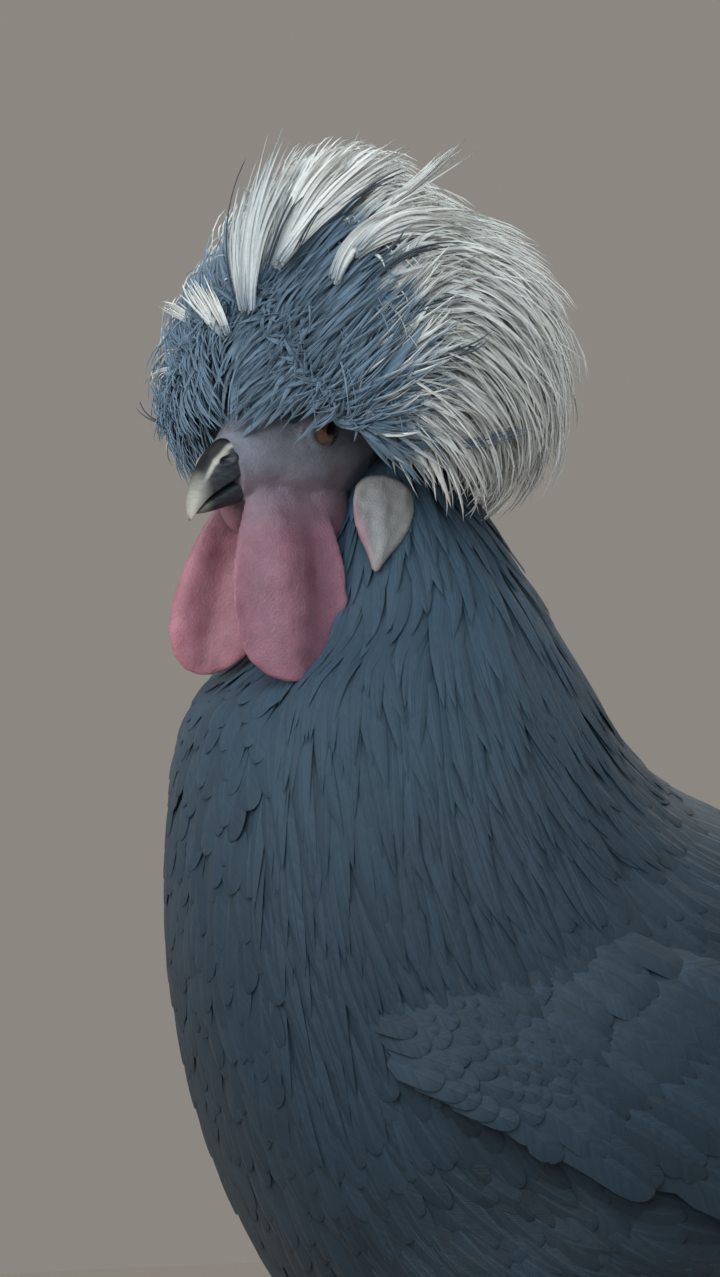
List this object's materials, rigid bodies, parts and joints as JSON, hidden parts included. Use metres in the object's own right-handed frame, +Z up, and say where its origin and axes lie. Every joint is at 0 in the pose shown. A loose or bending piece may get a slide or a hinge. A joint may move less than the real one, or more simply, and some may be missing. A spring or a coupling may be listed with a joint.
{
  "type": "polish chicken cock",
  "caption": "Life-size standing Polish cock with a white and slate crest, long red wattles, white earlobes and blue-black plumage, its head turned to its left.",
  "frame": {"origin": "on the floor under the middle of the bird's bounding box", "axes": "+Z up, the bird's body faces -Y with its tail towards +Y, and its left side is +X"},
  "size_m": [0.1616, 0.3932, 0.4681],
  "materials": {
    "dark_feather": "satin",
    "dark_crest": "satin",
    "white_feather": "satin",
    "red_skin": "satin",
    "white_lobe": "satin",
    "horn": "satin",
    "eye": "gloss",
    "slate_scale": "satin"
  },
  "bodies": {
    "root": {"bill_lower": "horn", "bill_upper": "horn", "claw_back_left": "horn", "claw_back_right": "horn", "claw_inner_left": "horn", "claw_inner_right": "horn", "claw_middle_left": "horn", "claw_middle_right": "horn", "claw_outer_left": "horn", "claw_outer_right": "horn", "crest_crown": "white_feather", "crest_front": "dark_crest", "earlobe_left": "white_lobe", "earlobe_right": "white_lobe", "eye_left": "eye", "eye_right": "eye", "foot_left": "slate_scale", "foot_right": "slate_scale", "head": "red_skin", "neck": "dark_feather", "shank_left": "slate_scale", "shank_right": "slate_scale", "tail": "dark_feather", "thigh_left": "dark_feather", "thigh_right": "dark_feather", "torso": "dark_feather", "wattle_left": "red_skin", "wattle_right": "red_skin", "wing_left": "dark_feather", "wing_right": "dark_feather"}
  },
  "joints": []
}
